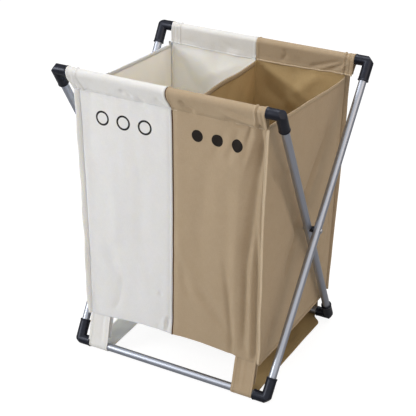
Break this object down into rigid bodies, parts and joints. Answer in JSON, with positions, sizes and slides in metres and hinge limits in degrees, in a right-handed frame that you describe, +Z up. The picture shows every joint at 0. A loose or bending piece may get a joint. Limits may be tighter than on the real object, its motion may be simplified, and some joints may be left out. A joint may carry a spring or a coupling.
{
  "type": "laundry hamper",
  "caption": "Folding laundry hamper with a cream and a tan cloth bin side by side, hung from a riveted crossed aluminium tube frame with plastic elbow connectors.",
  "frame": {"origin": "on the floor under the middle of the hamper", "axes": "+Z up, -Y towards the front panels, +X to the right seen from the front, the tan side"},
  "size_m": [0.5128, 0.3924, 0.6112],
  "materials": {
    "aluminium_tube": "satin drawn tube",
    "black_plastic": "satin moulded",
    "rivet_steel": "plain domed rivet",
    "cream_cloth": "plain weave, matt",
    "tan_cloth": "plain weave, matt"
  },
  "bodies": {
    "front_straps": {"strap_front_light": "cream_cloth", "strap_front_dark": "tan_cloth", "strap_floor_light": "cream_cloth", "strap_floor_dark": "tan_cloth"},
    "aft_frame": {"aft_top_bar": "aluminium_tube", "aft_bottom_bar": "aluminium_tube", "aft_leg_left": "aluminium_tube", "aft_leg_right": "aluminium_tube", "aft_elbow_top_left": "black_plastic", "aft_elbow_top_right": "black_plastic", "aft_elbow_bottom_left": "black_plastic", "aft_elbow_bottom_right": "black_plastic", "pivot_rivet_left": "rivet_steel", "pivot_rivet_right": "rivet_steel", "pivot_spacer_left": "black_plastic"},
    "fore_frame": {"fore_top_bar": "aluminium_tube", "fore_bottom_bar": "aluminium_tube", "fore_leg_left": "aluminium_tube", "fore_leg_right": "aluminium_tube", "fore_elbow_top_left": "black_plastic", "fore_elbow_top_right": "black_plastic", "fore_elbow_bottom_left": "black_plastic", "fore_elbow_bottom_right": "black_plastic", "pivot_spacer_right": "black_plastic"},
    "bag": {"light_bin": "cream_cloth", "dark_bin": "tan_cloth", "divider": "tan_cloth", "front_sleeve_light": "cream_cloth", "front_sleeve_dark": "tan_cloth"},
    "rear_sleeve": {"rear_sleeve_light": "cream_cloth", "rear_sleeve_dark": "tan_cloth"},
    "rear_straps": {"strap_rear_light": "cream_cloth", "strap_rear_dark": "tan_cloth"}
  },
  "joints": [
    {"name": "fold", "type": "hinge", "parent": "front_straps", "child": "aft_frame", "pos_m": [0, -0.181, 0.0102], "axis": [1, 0, 0], "range_deg": [0, 26], "deforming": ["light_bin", "dark_bin", "divider", "strap_floor_light", "strap_floor_dark"]},
    {"name": "side_pivots", "type": "hinge", "parent": "aft_frame", "child": "fore_frame", "pos_m": [0, 0, 0.30188], "axis": [1, 0, 0], "range_deg": [-52, 0]},
    {"name": "front_bar_sleeve", "type": "hinge", "parent": "fore_frame", "child": "bag", "pos_m": [0, -0.185, 0.6], "axis": [1, 0, 0], "range_deg": [0, 26]},
    {"name": "rear_bar_sleeve", "type": "hinge", "parent": "aft_frame", "child": "rear_sleeve", "pos_m": [0, 0.185, 0.6], "axis": [1, 0, 0], "range_deg": [-26, 0]},
    {"name": "rear_bar_straps", "type": "hinge", "parent": "fore_frame", "child": "rear_straps", "pos_m": [0, 0.181, 0.0102], "axis": [1, 0, 0], "range_deg": [0, 26]}
  ],
  "couplings": [
    {"joint": "side_pivots", "follows": "fold", "ratio": -2},
    {"joint": "front_bar_sleeve", "follows": "fold", "ratio": 1},
    {"joint": "rear_bar_sleeve", "follows": "fold", "ratio": -1},
    {"joint": "rear_bar_straps", "follows": "fold", "ratio": 1}
  ]
}
